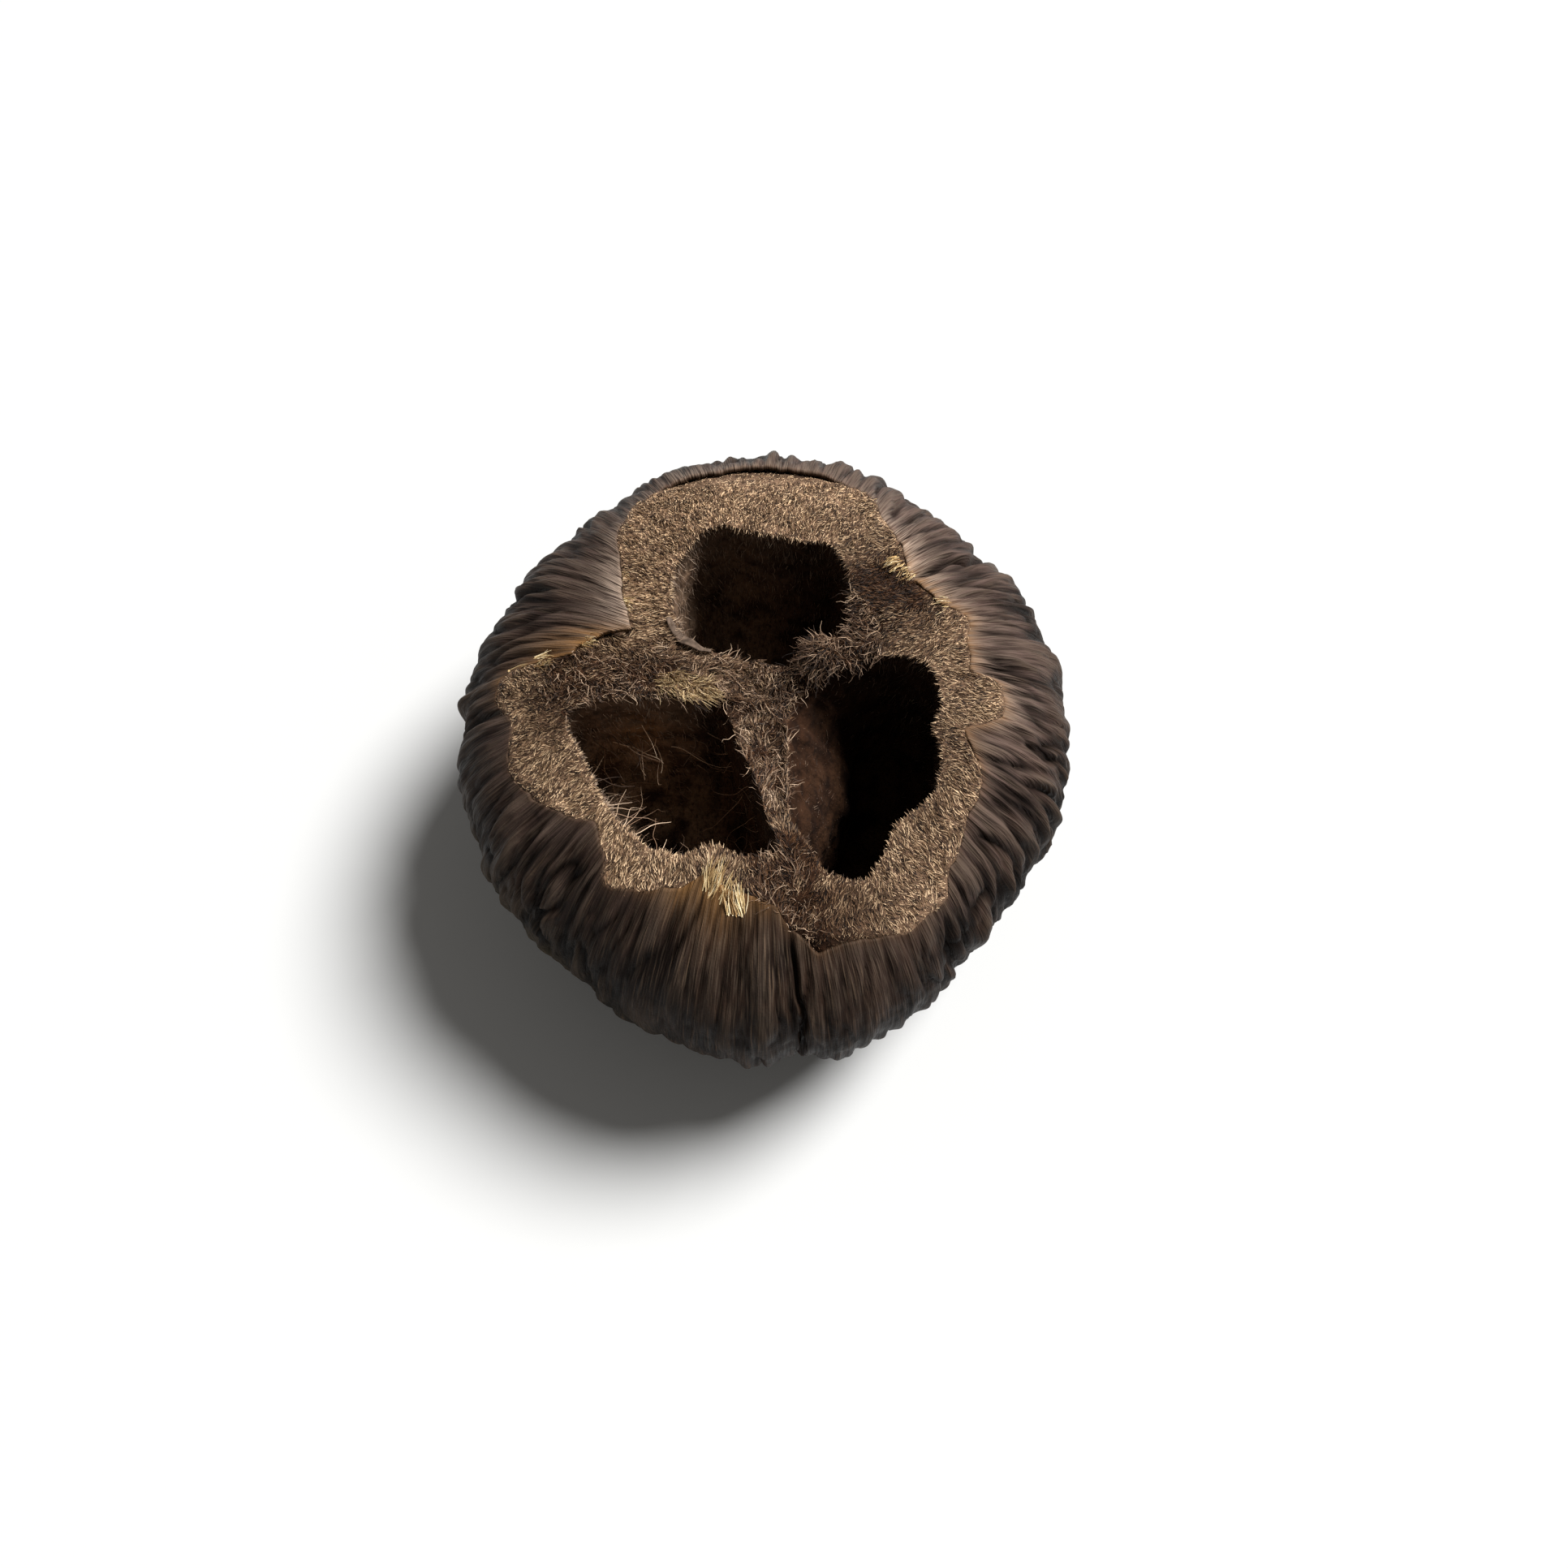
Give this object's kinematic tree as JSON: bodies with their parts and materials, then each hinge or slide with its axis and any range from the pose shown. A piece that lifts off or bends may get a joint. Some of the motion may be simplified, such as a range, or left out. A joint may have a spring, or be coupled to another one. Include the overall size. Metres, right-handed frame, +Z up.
{
  "type": "dried palm fruit husk",
  "caption": "Dried fibrous palm fruit husk with a wrinkled dark skin, open at the top onto seed chambers parted by frayed walls, standing on its rounded base.",
  "frame": {"origin": "on the surface it stands on, under the middle of its bounding box", "axes": "+Z up through the open top, +Y towards the chamber that lies opposite the viewer's side, +X to the viewer's right"},
  "size_m": [0.101, 0.1044, 0.0671],
  "materials": {
    "husk_skin": "dry leathery wrinkled skin, dark purplish brown, satin where rubbed",
    "husk_flesh": "coarse fibrous brown flesh, dull",
    "husk_fibre": "short tan fibres, faint silk sheen",
    "straw_fibre": "pale straw-coloured bast fibres, faint silk sheen"
  },
  "bodies": {
    "root": {"husk": "husk_skin"}
  },
  "joints": []
}
